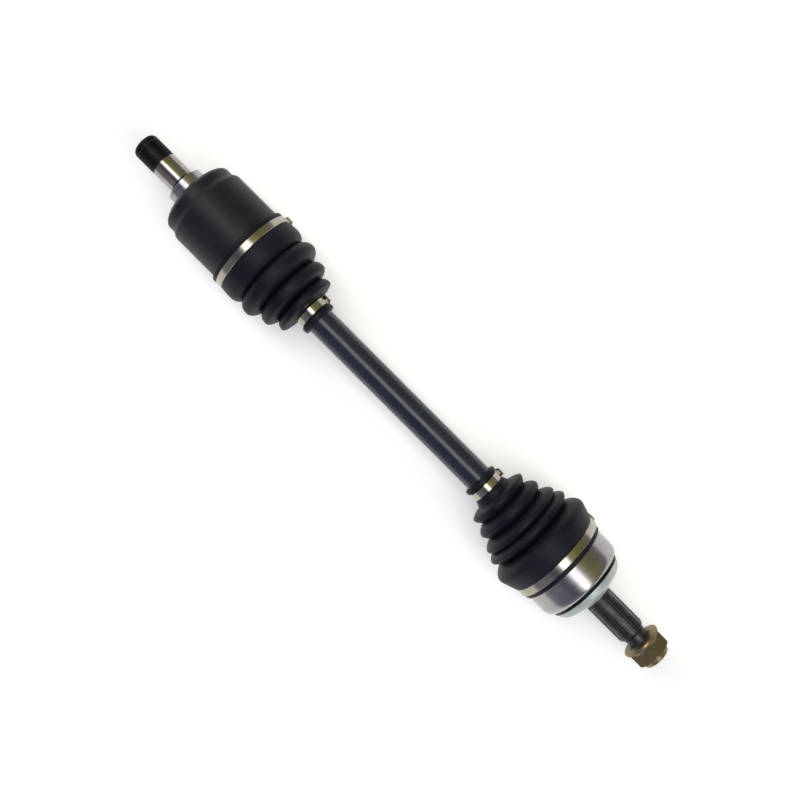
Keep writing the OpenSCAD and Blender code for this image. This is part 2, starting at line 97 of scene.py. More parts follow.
class Shader:
    """A node material with one Principled shader, and short calls for its procedural detail."""

    def __init__(self, name, color, roughness, metallic=0.0, **sockets):
        self.material = bpy.data.materials.new(name)
        self.material.use_nodes = True
        self.tree = self.material.node_tree
        self.tree.nodes.clear()
        self.out = self.tree.nodes.new("ShaderNodeOutputMaterial")
        self.surface = self.tree.nodes.new("ShaderNodeBsdfPrincipled")
        self.tree.links.new(self.surface.outputs[0], self.out.inputs["Surface"])
        self.set("Base Color", (*color, 1))
        self.set("Roughness", roughness)
        self.set("Metallic", metallic)
        for socket, value in sockets.items():
            self.set(socket.replace("_", " "), value)
        self.place = self.tree.nodes.new("ShaderNodeTexCoord").outputs["Object"]
        self.bump_out = None

    def set(self, socket, value):
        self.surface.inputs[socket].default_value = value

    def join(self, a, b):
        self.tree.links.new(a, b)

    def stretched(self, scale):
        """Object coordinates stretched by a scale for each axis."""
        mapping = self.tree.nodes.new("ShaderNodeMapping")
        mapping.inputs["Scale"].default_value = scale
        self.join(self.place, mapping.inputs["Vector"])
        return mapping.outputs[0]

    def around(self, along, about):
        """Coordinates that follow the turned surface: x, then the angle about the axle as a circle,
        stretched by along and about."""
        split = self.tree.nodes.new("ShaderNodeSeparateXYZ")
        self.join(self.place, split.inputs[0])
        flat = self.tree.nodes.new("ShaderNodeCombineXYZ")
        self.join(split.outputs["Y"], flat.inputs["Y"])
        self.join(split.outputs["Z"], flat.inputs["Z"])
        unit = self.tree.nodes.new("ShaderNodeVectorMath")
        unit.operation = "NORMALIZE"
        self.join(flat.outputs[0], unit.inputs[0])
        wide = self.tree.nodes.new("ShaderNodeVectorMath")
        wide.operation = "SCALE"
        self.join(unit.outputs[0], wide.inputs[0])
        wide.inputs["Scale"].default_value = about
        long = self.math("MULTIPLY", split.outputs["X"], along)
        shift = self.tree.nodes.new("ShaderNodeCombineXYZ")
        self.join(long, shift.inputs["X"])
        both = self.tree.nodes.new("ShaderNodeVectorMath")
        self.join(wide.outputs[0], both.inputs[0])
        self.join(shift.outputs[0], both.inputs[1])
        return both.outputs[0]

    def noise(self, vector, scale=1.0, detail=4.0, roughness=0.55):
        texture = self.tree.nodes.new("ShaderNodeTexNoise")
        texture.inputs["Scale"].default_value = scale
        texture.inputs["Detail"].default_value = detail
        texture.inputs["Roughness"].default_value = roughness
        self.join(vector, texture.inputs["Vector"])
        return texture.outputs["Fac"]

    def math(self, operation, a, b=0.0):
        step = self.tree.nodes.new("ShaderNodeMath")
        step.operation = operation
        for value, socket in ((a, step.inputs[0]), (b, step.inputs[1])):
            if isinstance(value, (int, float)):
                socket.default_value = value
            else:
                self.join(value, socket)
        return step.outputs[0]

    def ranged(self, value, low, high, to_low, to_high):
        span = self.tree.nodes.new("ShaderNodeMapRange")
        for i, number in enumerate((low, high, to_low, to_high), start=1):
            span.inputs[i].default_value = number
        self.join(value, span.inputs[0])
        return span.outputs[0]

    def blend(self, factor, a, b):
        """A colour between a and b, each a colour or another blend's output."""
        mix = self.tree.nodes.new("ShaderNodeMix")
        mix.data_type = "RGBA"
        self.join(factor, mix.inputs["Factor"])
        for color, socket in ((a, mix.inputs[6]), (b, mix.inputs[7])):
            if isinstance(color, tuple):
                socket.default_value = (*color, 1)
            else:
                self.join(color, socket)
        return mix.outputs[2]

    def color(self, output):
        self.join(output, self.surface.inputs["Base Color"])

    def rough(self, output):
        self.join(output, self.surface.inputs["Roughness"])

    def bump(self, height, distance, strength=1.0):
        """Adds a bump over the ones before it; distance is in millimetres."""
        bump = self.tree.nodes.new("ShaderNodeBump")
        bump.inputs["Distance"].default_value = distance * MM
        bump.inputs["Strength"].default_value = strength
        self.join(height, bump.inputs["Height"])
        if self.bump_out is not None:
            self.join(self.bump_out, bump.inputs["Normal"])
        self.bump_out = bump.outputs[0]
        self.join(self.bump_out, self.surface.inputs["Normal"])


def painted(name, color, worn, roughness, gloss=0.3):
    """Satin paint over steel: soft orange peel, faint mottling, and thin rubs that show lighter."""
    s = Shader(name, color, roughness, Specular_IOR_Level=gloss)
    cloud = s.noise(s.stretched((60, 60, 60)), detail=5)
    rubs = s.ranged(s.noise(s.around(420, 5), detail=5, roughness=0.6), 0.5, 0.85, 0, 1)
    dust = s.ranged(cloud, 0.35, 0.75, 0, 0.55)
    s.color(s.blend(s.math("MULTIPLY", rubs, 0.3), s.blend(dust, color, worn), worn))
    s.rough(s.ranged(cloud, 0.3, 0.7, roughness - 0.03, roughness + 0.05))
    s.bump(s.noise(s.stretched((900, 900, 900)), detail=2), 0.05, 0.35)
    return s.material


def turned_metal(name, color, stain, roughness, feed=2600, anisotropic=0.55):
    """Bright turned steel: fine feed lines round the axle, faint stain bands and handling marks."""
    s = Shader(name, color, roughness, 1.0, Anisotropic=anisotropic)
    lines = s.noise(s.around(feed, 1.2), detail=3, roughness=0.6)
    bands = s.noise(s.around(140, 0.8), detail=4)
    marks = s.ranged(s.noise(s.around(260, 9), detail=6, roughness=0.75), 0.6, 0.78, 0, 1)
    tone = s.math("ADD", s.ranged(bands, 0.35, 0.7, 0, 0.6), s.math("MULTIPLY", marks, 0.35))
    s.color(s.blend(tone, color, stain))
    s.rough(s.ranged(lines, 0.3, 0.7, roughness - 0.03, roughness + 0.05))
    s.bump(lines, 0.008, 0.2)
    tangent = s.tree.nodes.new("ShaderNodeTangent")
    tangent.direction_type = "RADIAL"
    tangent.axis = "X"
    s.join(tangent.outputs[0], s.surface.inputs["Tangent"])
    return s.material


def forged_metal(name, color, dark, roughness, grain=500, metallic=1.0):
    """Machined, hardened or coated steel with a cloudy, slightly pitted surface."""
    s = Shader(name, color, roughness, metallic)
    cloud = s.noise(s.stretched((140, 140, 140)), detail=6)
    pits = s.noise(s.stretched((grain, grain, grain)), detail=3)
    s.color(s.blend(s.ranged(cloud, 0.35, 0.7, 0, 1), color, dark))
    s.rough(s.ranged(pits, 0.3, 0.7, roughness - 0.06, roughness + 0.12))
    s.bump(pits, 0.04, 0.45)
    return s.material


def boot_rubber(name, color, bloom):
    """Moulded boot rubber: fine grain, faint rings left by the mould, and a pale bloom."""
    s = Shader(name, color, 0.5, Specular_IOR_Level=0.2)
    cloud = s.noise(s.stretched((38, 38, 38)), detail=6, roughness=0.6)
    rings = s.noise(s.around(900, 2), detail=2)
    s.color(s.blend(s.ranged(cloud, 0.42, 0.78, 0, 0.6), color, bloom))
    s.rough(s.ranged(cloud, 0.3, 0.75, 0.44, 0.58))
    s.bump(s.noise(s.stretched((2200, 2200, 2200)), detail=2), 0.03, 0.35)
    s.bump(rings, 0.06, 0.3)
    return s.material


def plated_nut(name):
    """Yellow zinc passivate: gold that drifts to green and brown, duller where it was handled."""
    gold, green, brown = (0.27, 0.20, 0.10), (0.22, 0.19, 0.11), (0.17, 0.11, 0.065)
    s = Shader(name, gold, 0.36, 0.92)
    drift = s.noise(s.stretched((70, 70, 70)), detail=4)
    spots = s.noise(s.stretched((260, 260, 260)), detail=6, roughness=0.7)
    s.color(s.blend(s.ranged(spots, 0.5, 0.75, 0, 0.8),
                    s.blend(s.ranged(drift, 0.38, 0.62, 0, 1), gold, green), brown))
    s.rough(s.ranged(spots, 0.3, 0.7, 0.28, 0.46))
    s.bump(spots, 0.05, 0.35)
    return s.material


black_paint = painted("black_paint", (0.0055, 0.007, 0.0105), (0.012, 0.014, 0.020), 0.46)
bar_paint = painted("bar_paint", (0.010, 0.015, 0.028), (0.018, 0.025, 0.042), 0.27, 0.6)
rubber = boot_rubber("boot_rubber", (0.0045, 0.0055, 0.011), (0.010, 0.0115, 0.020))
bright_steel = turned_metal("bright_turned_steel", (0.43, 0.41, 0.42), (0.28, 0.26, 0.26), 0.2)
pale_steel = forged_metal("pale_dome", (0.52, 0.58, 0.58), (0.43, 0.48, 0.48), 0.40, metallic=0.5)
ground_steel = turned_metal("ground_steel", (0.42, 0.40, 0.36), (0.24, 0.215, 0.18), 0.15,
                            feed=4200)
# Near-black steel for the housing's undercut and the bell's groove: painted shade in these recesses
groove_painted_shade = forged_metal("groove_painted_shade", (0.02, 0.02, 0.022), (0.012, 0.012, 0.012), 0.5)
dark_spline = forged_metal("phosphated_spline", (0.11, 0.11, 0.12), (0.06, 0.065, 0.07), 0.40)
oiled_spline = forged_metal("oiled_spline", (0.030, 0.031, 0.036), (0.018, 0.019, 0.022), 0.46)
band_steel = turned_metal("clamp_band", (0.46, 0.44, 0.38), (0.27, 0.24, 0.17), 0.16, feed=1800)
zinc = plated_nut("yellow_zinc")
race_steel = forged_metal("hardened_race", (0.42, 0.42, 0.43), (0.24, 0.235, 0.23), 0.3)
roller_steel = turned_metal("ground_rollers", (0.66, 0.66, 0.67), (0.5, 0.48, 0.45), 0.16,
                            anisotropic=0.3)
spring_steel = forged_metal("blackened_spring_steel", (0.05, 0.05, 0.055), (0.03, 0.03, 0.033), 0.4)
greasy_steel = forged_metal("greased_bore", (0.20, 0.19, 0.18), (0.08, 0.07, 0.06), 0.25)


# ---- Shapes turned about the axle ----

def rounded(points, steps=4):
    """A curve through [x, radius] points, where a third number is the fillet of that corner."""
    out = []
    for i, point in enumerate(points):
        here = np.array(point[:2], float)
        fillet = point[2] if len(point) > 2 else 0
        if not fillet or i in (0, len(points) - 1):
            out.append(tuple(here))
            continue
        before = np.array(points[i - 1][:2], float) - here
        after = np.array(points[i + 1][:2], float) - here
        reach = min(fillet, 0.48 * np.hypot(*before), 0.48 * np.hypot(*after))
        a = here + before / np.hypot(*before) * reach
        b = here + after / np.hypot(*after) * reach
        for t in np.linspace(0, 1, steps + 1):
            out.append(tuple((1 - t) ** 2 * a + 2 * t * (1 - t) * here + t * t * b))
    return out


def lobes(knots, fullness, steps=12):
    """Lobes through [x, radius] knots, with a sharp valley between two. A fullness above 1 rounds
    the crests, and each flank of a lobe takes one: first the flank that rises, then the one that
    falls."""
    out = [tuple(knots[0])]
    for (x0, r0), (x1, r1) in zip(knots, knots[1:]):
        power = fullness[0] if r1 > r0 else fullness[1]
        share = np.linspace(0, 1, steps + 1) ** 1.5
        flank = [(1 - (1 - t) ** power) ** (1 / math.sqrt(power)) for t in share]
        if r1 < r0:
            flank, share = flank[::-1], 1 - share[::-1]
        low, high = min(r0, r1), max(r0, r1)
        out += [(x0 + (x1 - x0) * a, low + (high - low) * b)
                for a, b in zip(share[1:], flank[1:])]
    return out


def angles(sides):
    return np.arange(sides) * 2 * math.pi / sides


def spline_radius(sides, teeth, tip, root):
    """The radius round a splined shaft: flat-topped teeth with sloping flanks."""
    phase = np.abs((angles(sides) * teeth / (2 * math.pi) + 0.5) % 1 - 0.5)
    return root + (tip - root) * np.clip((0.33 - phase) / 0.15, 0, 1)


def hex_radius(sides, across_flats):
    """The radius round a hexagon whose flats face +Y and -Y."""
    turn = (angles(sides) + math.pi / 6) % (math.pi / 3) - math.pi / 6
    return across_flats / 2 / np.cos(turn)


def finish_mesh(name, bm, materials, body, sharp_angle):
    """Turns a bmesh in millimetres into a piece that rides on a body, or on none if it is to be
    blended, smooth but for its sharp edges."""
    bmesh.ops.scale(bm, vec=(MM, MM, MM), verts=bm.verts)
    bmesh.ops.recalc_face_normals(bm, faces=bm.faces)
    for face in bm.faces:
        face.smooth = True
    for edge in bm.edges:
        if len(edge.link_faces) == 2 and edge.calc_face_angle(0) > math.radians(sharp_angle):
            edge.smooth = False
    mesh = bpy.data.meshes.new(name)
    bm.to_mesh(mesh)
    bm.free()
    for material in materials:
        mesh.materials.append(material)
    piece = bpy.data.objects.new(name, mesh)
    bpy.context.scene.collection.objects.link(piece)
    if body:
        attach(piece, body)
    return piece


def turned_piece(name, sections, body, sides=192, loop=False, sharp_angle=32):
    """A closed mesh turned about the axle. Each section is a material and its (x, radius) stations,
    where a radius is a number or one number for each side. loop joins the last station to the
    first, and without it both ends are capped."""
    turn = angles(sides)
    stations, slots, materials = [], [], []
    for material, points in sections:
        if material not in materials:
            materials.append(material)
        for point in points:
            stations.append(point)
            slots.append(materials.index(material))
    bm = bmesh.new()
    rings = []
    for x, radius in stations:
        radii = np.broadcast_to(np.asarray(radius, float), (sides,))
        rings.append([bm.verts.new((x, r * math.cos(a), r * math.sin(a)))
                      for r, a in zip(radii, turn)])
    pairs = list(zip(range(len(rings) - 1), range(1, len(rings))))
    if loop:
        pairs.append((len(rings) - 1, 0))
    for i, j in pairs:
        for k in range(sides):
            m = (k + 1) % sides
            face = bm.faces.new((rings[i][k], rings[i][m], rings[j][m], rings[j][k]))
            face.material_index = slots[j]
    if not loop:
        for end in (0, -1):
            centre = bm.verts.new((stations[end][0], 0, 0))
            for k in range(sides):
                face = bm.faces.new((centre, rings[end][k], rings[end][(k + 1) % sides]))
                face.material_index = slots[end]
    bmesh.ops.remove_doubles(bm, verts=bm.verts, dist=1e-5)
    return finish_mesh(name, bm, materials, body, sharp_angle)


# ---- Inboard housing ----

TRACK_HALF = 16.2
CAVITY_R = 32.3
CAVITY_BORE_R = 19.5
CAVITY_X = 21.5
RELIEF_X, RELIEF_R, RELIEF_SLOPE = TRIPOD_X - 15, 12.0, math.tan(math.radians(20))
STUB_TEETH, STUB_TIP_R, SPLINE_DEPTH = 28, 12.05, 1.1
RING_X, RING_HALF, RING_GROOVE_R = STUB_TIP + 6.5, 1.0, 10.4
LAND_START = -23.2
COLLAR_START, COLLAR_END, COLLAR_R = 2.6, 11.6, 17.5
DOME_X, DOME_R = 12.4, 18.4
DOME_LENGTH, DOME_RISE = 8.0, 16.65
CAN_STEP_X = 31.2
CAN_GROOVE, CAN_GROOVE_R = (83.0, 89.6), 37.2


def cavity_radius(sides, x):
    """The radius round the tulip's inside at x: three flat-sided tracks, a bore, and the relief
    that lets the bar tilt."""
    turn = (angles(sides) - math.pi / 2 + math.pi / 3) % (2 * math.pi / 3) - math.pi / 3
    walls = TRACK_HALF / np.maximum(np.abs(np.sin(turn)), 1e-6)
    tulip = np.maximum(np.minimum(walls, CAVITY_R), CAVITY_BORE_R)
    relief = RELIEF_R + (x - RELIEF_X) * RELIEF_SLOPE
    return np.maximum(tulip, relief)


def make_housing():
    """The stub with its spline and ground land, the collar, the dome and the can."""
    sides = 12 * STUB_TEETH
    teeth = spline_radius(sides, STUB_TEETH, STUB_TIP_R, STUB_TIP_R - SPLINE_DEPTH)
    spline = [(STUB_TIP, 3.6), (STUB_TIP + 0.02, 8.6), (STUB_TIP + 0.5, 9.9),
              (STUB_TIP + 1.3, np.minimum(teeth, 10.9)), (STUB_TIP + 2.4, np.minimum(teeth, 11.6)),
              (STUB_TIP + 3.6, teeth), (RING_X - RING_HALF, teeth),
              (RING_X - RING_HALF, RING_GROOVE_R), (RING_X + RING_HALF, RING_GROOVE_R),
              (RING_X + RING_HALF, teeth), (LAND_START - 1.9, teeth),
              (LAND_START - 1.2, np.minimum(teeth, 11.4)), (LAND_START - 0.7, 11.35)]
    run_out = [(LAND_START - 0.6, 11.4), (LAND_START, LAND_R), (LAND_START + 1.5, LAND_R)]
    land = rounded([(LAND_START + 1.6, LAND_R), (-0.3, LAND_R, 0.4), (0.0, 11.6)])
    # The undercut's near-black steel is painted shade
    undercut = [(0.1, 11.2), (2.5, 11.2)]
    collar = rounded([(COLLAR_START, 11.4), (COLLAR_START, COLLAR_R - 0.3, 0.5),
                      (COLLAR_START + 0.6, COLLAR_R, 0.5), (COLLAR_END, COLLAR_R, 0.6),
                      (COLLAR_END + 0.6, COLLAR_R + 0.4)])
    dome = [(DOME_X + DOME_LENGTH * (1 - math.cos(t)) ** 0.8, DOME_R + DOME_RISE * math.sin(t))
            for t in np.linspace(0, math.pi / 2, 16)]
    throat_r = DOME_R + DOME_RISE
    groove_start, groove_end = CAN_GROOVE
    can = rounded([(DOME_X + DOME_LENGTH + 0.1, throat_r), (CAN_STEP_X - 4.4, throat_r, 1.2),
                   (CAN_STEP_X, CAN_R, 1.5), (groove_start - 1, CAN_R, 0.4),
                   (groove_start, CAN_GROOVE_R, 0.3), (groove_end, CAN_GROOVE_R, 0.3),
                   (groove_end + 1, CAN_R, 0.3), (CAN_MOUTH - 0.4, CAN_R, 0.3),
                   (CAN_MOUTH, CAN_R - 0.5)])
    tracks = [(x, cavity_radius(sides, x)) for x in np.linspace(CAN_MOUTH, CAVITY_X + 2, 30)]
    floor_radius = cavity_radius(sides, CAVITY_X)
    floor = [(CAVITY_X + 0.6, floor_radius * 0.985), (CAVITY_X, floor_radius * 0.93),
             (CAVITY_X, 6.0)]
    housing = turned_piece("inboard_housing_shell", [
        (oiled_spline, spline + run_out), (ground_steel, land), (groove_painted_shade, undercut),
        (bright_steel, collar), (black_paint, dome + can), (greasy_steel, tracks + floor),
    ], "inboard_housing", sides=sides)
    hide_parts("inboard_housing")


# ---- Half shaft ----

BAR_TEETH, BAR_TIP_R, BAR_ROOT_R = 24, 11.2, 10.1
SHOULDER_R = 12.0
NECK_R = 10.5
# The shallow grooves that the boots' small cuffs bed in
CUFF_GROOVES, CUFF_GROOVE_R = ((155.3, 163.2), (366.5, 374.4)), 12.2


def make_shaft():
    """The painted bar and the splines at its ends, each with a groove for its ring."""
    sides = 192
    teeth = spline_radius(sides, BAR_TEETH, BAR_TIP_R, BAR_ROOT_R)
    start, end = cad_span("half_shaft")
    ring_in = TRIPOD_X - 11.2
    ring_out = BALL_JOINT_X + 11.5
    inner = [(start, 8.0), (start + 0.1, 10.2), (start + 0.9, teeth), (ring_in - 0.1, teeth),
             (ring_in - 0.1, BAR_ROOT_R), (ring_in + 1.2, BAR_ROOT_R), (ring_in + 1.2, teeth),
             (TRIPOD_X + 10, teeth)]
    grooves = []
    for groove_start, groove_end in CUFF_GROOVES:
        grooves += [(groove_start, BAR_R), (groove_start + 0.4, CUFF_GROOVE_R),
                    (groove_end - 0.4, CUFF_GROOVE_R), (groove_end, BAR_R)]
    bar = rounded([(TRIPOD_X + 10, SHOULDER_R), (TRIPOD_X + 12.6, SHOULDER_R, 0.5),
                   (TRIPOD_X + 13.8, 10.8, 1), (112, 10.8, 14), (140, BAR_R, 14), *grooves,
                   (378, BAR_R, 8), (416, NECK_R, 8), (BALL_JOINT_X - 15.3, NECK_R, 1),
                   (BALL_JOINT_X - 14.1, SHOULDER_R, 0.5), (BALL_JOINT_X - 11.5, SHOULDER_R)], 8)
    outer = [(BALL_JOINT_X - 11.5, teeth), (ring_out, teeth), (ring_out, BAR_ROOT_R),
             (ring_out + 1.3, BAR_ROOT_R), (ring_out + 1.3, teeth), (end - 0.8, teeth),
             (end - 0.1, 10.2), (end, 8.0)]
    shaft = turned_piece("half_shaft_bar", [
        (race_steel, inner), (bar_paint, bar), (race_steel, outer),
    ], "half_shaft", sides=sides)
    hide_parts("half_shaft")


# ---- Bell ----

BELL_SPHERE_R = 30.2
BALL_PITCH_R = 27.5
TRACK_R = 9.1
TRACK_SWING = 41
MOUTH_GAP = 0.45
HUB_TEETH, HUB_TIP_R = 26, 12.8
SKIRT_X = 463.6
SHOULDER_X = 503.6
HUB_SPLINE_START, HUB_SPLINE_END = 507.6, 545.6
HUB_NECK_R, THREAD_START, THREAD_DEPTH = 10.15, 557.6, 0.9


def bell_radius(sides, x):
    """The radius round the bell's inside at x: a sphere, six ball grooves, and the relief at the
    mouth that lets the bar's neck tilt."""
    along = x - BALL_JOINT_X
    sphere = math.sqrt(max(BELL_SPHERE_R ** 2 - along ** 2, 0))
    turn = (angles(sides) - math.pi / 2 + math.pi / 6) % (math.pi / 3) - math.pi / 6
    best = np.full(sides, sphere)
    for radius in np.linspace(18, 37, 400):
        in_plane = np.hypot(along, radius * np.cos(turn))
        swing = np.degrees(np.arctan2(along, radius * np.cos(turn)))
        inside = (in_plane - BALL_PITCH_R) ** 2 + (radius * np.sin(turn)) ** 2 <= TRACK_R ** 2
        best = np.where(inside & (swing < TRACK_SWING), np.maximum(best, radius), best)
    relief = NECK_R / math.cos(math.pi / 4) + MOUTH_GAP - along
    return np.maximum(best, relief) if along < 0 else best


def thread_radius(sides, x, major, depth):
    """The radius round a screw thread at x, one turn for each pitch."""
    phase = (x / THREAD_PITCH - angles(sides) / (2 * math.pi)) % 1
    return major - depth * np.clip(np.abs(phase - 0.5) * 2.5 - 0.1, 0, 1)


def make_bell():
    """The skirt under the boot, the bright ring, the dome, the hub spline and the thread."""
    sides = 12 * HUB_TEETH
    teeth = spline_radius(sides, HUB_TEETH, HUB_TIP_R, HUB_TIP_R - SPLINE_DEPTH)
    skirt = rounded([(BELL_MOUTH, BELL_SEAT_R - 0.6), (BELL_MOUTH + 0.5, BELL_SEAT_R),
                     (SKIRT_X, BELL_SEAT_R), (SKIRT_X + 0.1, BELL_R - 0.3),
                     (SKIRT_X + 0.5, BELL_R), (480.6, BELL_R, 3), (484.2, 40.6, 2),
                     (486.5, 39.1)], 6)
    # The groove's near-black steel is painted shade
    groove = rounded([(486.6, 38.9), (486.8, 36.7, 0.3), (490.3, 36.5)])
    dome = rounded([(490.3, 36.5), (497.6, 33.0, 20), (502.0, 20.5)], 14)
    shoulder = rounded([(502.4, 18.3), (503.0, 17.6, 0.3), (SHOULDER_X, 17.2, 0.3),
                        (SHOULDER_X, 13.6)])
    undercut = [(502.8, 13.6), (502.8, 12.4), (505.8, 12.4), (505.9, 11.9)]
    spline = [(506.2, np.minimum(teeth, 12.0)), (HUB_SPLINE_START, teeth), (HUB_SPLINE_END, teeth),
              (547.2, np.minimum(teeth, 12.3)), (548.6, np.minimum(teeth, 11.2)), (549.6, 10.4),
              (551.0, 10.1)]
    neck = [(557.0, 10.1), (THREAD_START, HUB_NECK_R)]
    thread = [(x, np.minimum(thread_radius(sides, x, THREAD_R, THREAD_DEPTH),
                             HUB_NECK_R + (x - THREAD_START) * 1.2))
              for x in np.arange(THREAD_START + 0.1, STUB_END - 1.3, THREAD_PITCH / 8)]
    tip = [(STUB_END - 1.2, 10.6), (STUB_END - 0.3, 9.6), (STUB_END, 8.9), (STUB_END, 4.6),
           (STUB_END - 4.4, 0.6)]
    inside = [(x, bell_radius(sides, x)) for x in np.linspace(BALL_JOINT_X + 30.0, BELL_MOUTH, 70)]
    bell = turned_piece("outboard_bell_forging", [
        (bright_steel, skirt), (groove_painted_shade, groove), (pale_steel, dome + shoulder),
        (dark_spline, undercut + spline + neck + thread + tip),
    ], "outboard_bell", sides=sides)
    cavity = turned_piece("bell_cavity_tmp", [(greasy_steel, inside[::-1])], None,
                          sides=sides)
    join_shell(bell, cavity)
    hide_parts("outboard_bell")


def open_cap(bm, cap_x):
    """Deletes the centre of the end cap at cap_x, and the faces that meet there."""
    centre = [v for v in bm.verts
              if v.co.x < cap_x + 1e-6 and v.co.y ** 2 + v.co.z ** 2 < 1e-8]
    bmesh.ops.delete(bm, geom=centre, context="VERTS")


def join_shell(outer, inner):
    """Opens the facing end caps of an outer shell and its cavity, and joins them into one closed
    mesh."""
    bm = bmesh.new()
    bm.from_mesh(outer.data)
    cap_x = min(v.co.x for v in bm.verts)
    open_cap(bm, cap_x)
    count = len(outer.data.materials)
    for material in inner.data.materials:
        outer.data.materials.append(material)
    second = bmesh.new()
    second.from_mesh(inner.data)
    open_cap(second, cap_x)
    bmesh.ops.reverse_faces(second, faces=second.faces)
    for face in second.faces:
        face.material_index += count
    holder = bpy.data.meshes.new("holder")
    second.to_mesh(holder)
    second.free()
    bm.from_mesh(holder)
    bpy.data.meshes.remove(holder)
    rim = [e for e in bm.edges if len(e.link_faces) == 1]
    bmesh.ops.bridge_loops(bm, edges=rim)
    bmesh.ops.recalc_face_normals(bm, faces=bm.faces)
    for face in bm.faces:
        face.smooth = True
    bm.to_mesh(outer.data)
    bm.free()
    mesh = inner.data
    bpy.data.objects.remove(inner)
    bpy.data.meshes.remove(mesh)


# ---- Axle nut ----

NUT_FLATS = 32.0
NUT_CORNER_R = 18.5
HEX_END = NUT_START + 17.1


def make_nut():
    """The flanged nut: a rounded face, the flange that falls into the hexagon, and the collar."""
    sides = 240
    hexagon = hex_radius(sides, NUT_FLATS)

    def body(x, envelope, flange=0.0):
        return x, np.maximum(np.minimum(hexagon, envelope), flange)

    face = rounded([(NUT_START, 12.0), (NUT_START, 16.6), (NUT_START + 0.5, 17.9, 0.6),
                    (NUT_START + 1.6, 18.4, 0.8), (NUT_START + 2.7, 18.0, 0.8),
                    (NUT_START + 3.2, 17.7)])
    flange_fall = [body(NUT_START + x, NUT_CORNER_R, 17.8 - 0.7 * (x - 3.2))
                   for x in np.linspace(3.3, 7.0, 8)]
    hex_part = [body(HEX_END - 3.2, NUT_CORNER_R), body(HEX_END - 2.4, 18.3),
                body(HEX_END - 1.6, 17.9), body(HEX_END - 0.8, 17.2), body(HEX_END - 0.2, 16.3),
                (HEX_END, 15.6)]
    collar = rounded([(HEX_END, 14.4), (HEX_END + 0.8, 13.7, 0.6), (NUT_END - 1.8, 12.9, 0.6),
                      (NUT_END - 0.3, 12.3, 0.5), (NUT_END, 11.9, 0.3), (NUT_END, 11.5),
                      (NUT_END - 0.4, 11.2)])
    bore = [(x, THREAD_R + 0.08) for x in np.linspace(NUT_END - 0.6, NUT_START + 1.0, 3)]
    nut = turned_piece("axle_nut_plated", [(zinc, face + flange_fall + hex_part + collar + bore)],
                       "axle_nut", sides=sides, loop=True, sharp_angle=25)
    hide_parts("axle_nut")


# ---- Boots ----

BOOT_WALL = 2.2
THIN_WALL = 0.8
VALLEY_BORE_R = 33.3
SEAM_X = 118.7
BAND_SEAT_R = 13.85
BORE_R = BAR_R + 0.05
CLEAR_R = BAR_R + 0.4


def make_inboard_boot():
    """The boot on the can and the bar, in two pieces that meet on a crest at the tripod joint."""
    seat = CAN_R + 0.05
    lip = rounded([(78.2, seat), (78.2, 39.6, 0.5), (79.1, 40.5, 0.6), (81.0, 40.5, 0.6),
                   (81.6, 39.9, 0.4), (82.2, 39.9, 0.4), (82.9, 39.7), (89.7, 39.7)])
    first = lobes([(90.0, 40.1), (99.5, 41.1), (109.7, 34.1), (SEAM_X, 41.1)], (2.3, 2.3))
    second = lobes([(SEAM_X, 41.1), (127.7, 29.0), (136.7, 35.4), (143.2, 23.6), (150.9, 29.3),
                    (154.4, 16.2)], (2.3, 2.3))
    cuff = rounded([(154.9, 14.4, 0.4), (155.3, BAND_SEAT_R), (162.5, BAND_SEAT_R, 0.2),
                    (162.9, 15.6, 0.5), (163.7, 16.4, 0.6), (167.7, 16.4, 0.7),
                    (168.6, 15.4, 0.5), (168.6, BORE_R)])
    bulb_inside = [(x, min(max(r - BOOT_WALL, VALLEY_BORE_R), r - THIN_WALL))
                   for x, r in first if x > CAN_MOUTH + 0.5][::-1]
    bulb = turned_piece("inboard_boot_bulb", [
        (rubber, lip + first + bulb_inside + [(CAN_MOUTH + 0.4, seat)]),
    ], None, loop=True, sharp_angle=50)
    bellows_inside = [(x, max(r - BOOT_WALL, CLEAR_R)) for x, r in second if x < 153.5][::-1]
    bellows = turned_piece("inboard_boot_bellows", [
        (rubber, second + cuff + [(154.6, BORE_R)] + bellows_inside),
    ], None, loop=True, sharp_angle=50)
    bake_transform(bulb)
    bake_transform(bellows)
    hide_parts("inboard_boot")


def make_outboard_boot():
    """The boot on the bar and the bell, whose folds widen to the lip on the bell's skirt."""
    seat = BELL_SEAT_R + 0.05
    cuff = rounded([(361.4, BORE_R), (361.4, 15.3, 0.5), (362.3, 16.2, 0.7), (365.7, 16.2, 0.7),
                    (366.7, 14.0, 0.4), (366.9, BAND_SEAT_R), (374.0, BAND_SEAT_R, 0.2),
                    (374.2, 15.5, 0.5), (375.6, 16.2, 1)])
    bellows = lobes([(380.2, 18.2), (384.5, 28.7), (391.3, 23.6), (398.7, 33.4), (405.1, 28.0),
                     (412.0, 39.3), (415.8, 36.0), (421.1, 43.4), (426.6, 36.4), (436.6, 49.3)],
                    (1.9, 1.5))
    cone = rounded([(438.0, 49.2), (440.0, 48.6, 1.2), (450.0, 45.3)])
    folds = [(376.2, 16.3)] + bellows + cone
    lip = rounded([(451.2, 44.8, 0.4), (451.8, 43.55), (459.5, 43.55, 0.2), (459.8, 43.2, 0.3),
                   (462.8, 43.1, 0.5), (463.5, 42.4, 0.5), (463.5, seat)])
    inside = [(x, max(r - BOOT_WALL, CLEAR_R))
              for x, r in folds if 379 < x < BELL_MOUTH - 0.7][::-1]
    boot = turned_piece("outboard_boot_bellows", [
        (rubber, cuff + folds + lip + [(BELL_MOUTH - 0.5, seat)] + inside + [(378.4, BORE_R)]),
    ], None, loop=True, sharp_angle=50)
    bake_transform(boot)
    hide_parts("outboard_boot")


# ---- Ear clamps ----

HOOK_HALF = 2.2


